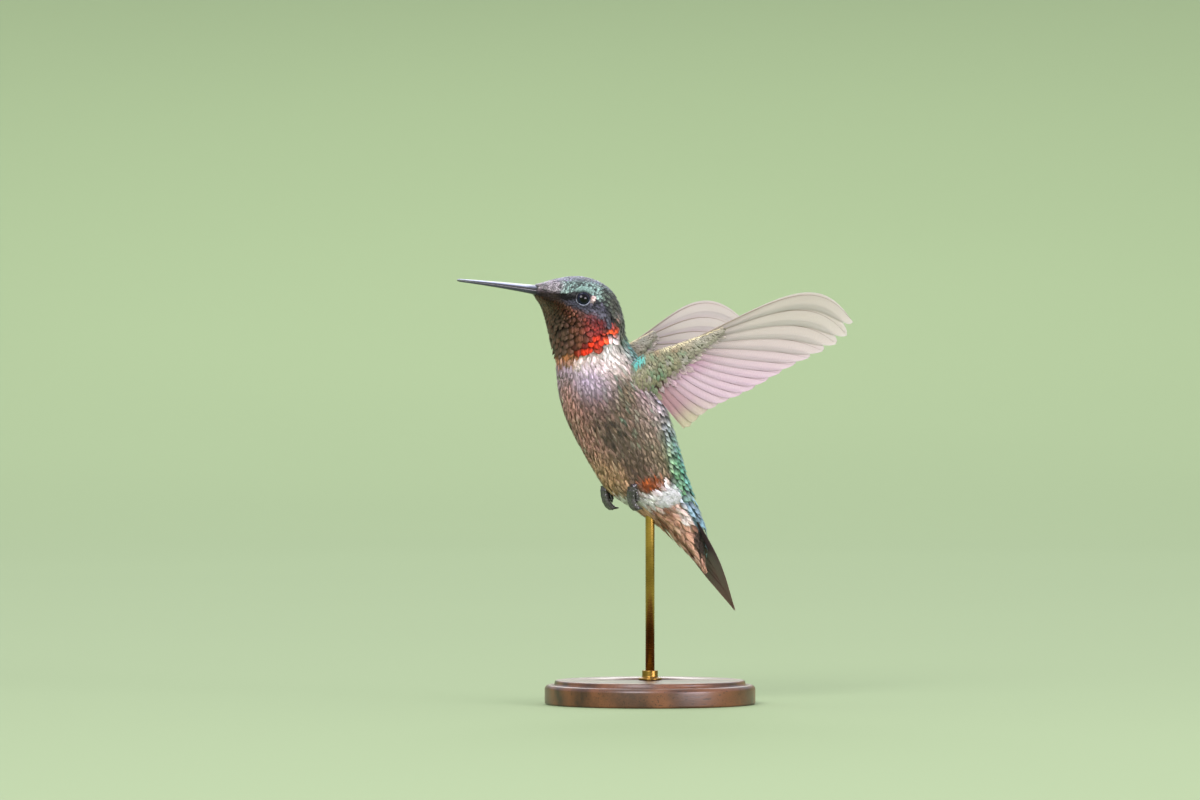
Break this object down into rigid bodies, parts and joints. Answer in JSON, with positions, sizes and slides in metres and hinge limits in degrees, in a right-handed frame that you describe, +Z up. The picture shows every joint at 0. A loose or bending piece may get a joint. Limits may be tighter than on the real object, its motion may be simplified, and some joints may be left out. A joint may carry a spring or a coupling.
{
  "type": "ruby-throated hummingbird",
  "caption": "Life-size hovering hummingbird, an adult male with a red throat, wings swept up and back, held by a brass rod on a round wooden base.",
  "frame": {"origin": "middle of the stand's underside, on the surface that it stands on", "axes": "+Z up; the bird faces -X with its left side towards -Y, so the plane y = 0 is its middle plane"},
  "size_m": [0.07, 0.037, 0.0749],
  "materials": {
    "plumage_green": "iridescent scaly feathers",
    "plumage_gorget": "iridescent red feather scales",
    "plumage_white": "soft down",
    "plumage_grey": "soft barbed feathers",
    "flight_feather": "thin satin vanes",
    "bill": "satin horn",
    "eye": "wet gloss",
    "foot": "scaly satin skin",
    "stand_wood": "waxed walnut",
    "stand_brass": "brushed and lacquered"
  },
  "bodies": {
    "root": {"head": "plumage_green", "throat": "plumage_gorget", "neck": "plumage_white", "back": "plumage_green", "rump": "plumage_green", "breast": "plumage_grey", "belly": "plumage_grey", "vent": "plumage_white", "bill_upper": "bill", "bill_lower": "bill", "eye_left": "eye", "eye_right": "eye", "wing_left_arm": "plumage_green", "wing_right_arm": "plumage_green", "wing_left_primaries": "flight_feather", "wing_right_primaries": "flight_feather", "wing_left_secondaries": "flight_feather", "wing_right_secondaries": "flight_feather", "tail_left": "flight_feather", "tail_right": "flight_feather", "leg_left": "plumage_white", "leg_right": "plumage_white", "foot_left": "foot", "foot_right": "foot", "stand_base": "stand_wood", "stand_collar": "stand_brass", "stand_rod": "stand_brass"}
  },
  "joints": []
}
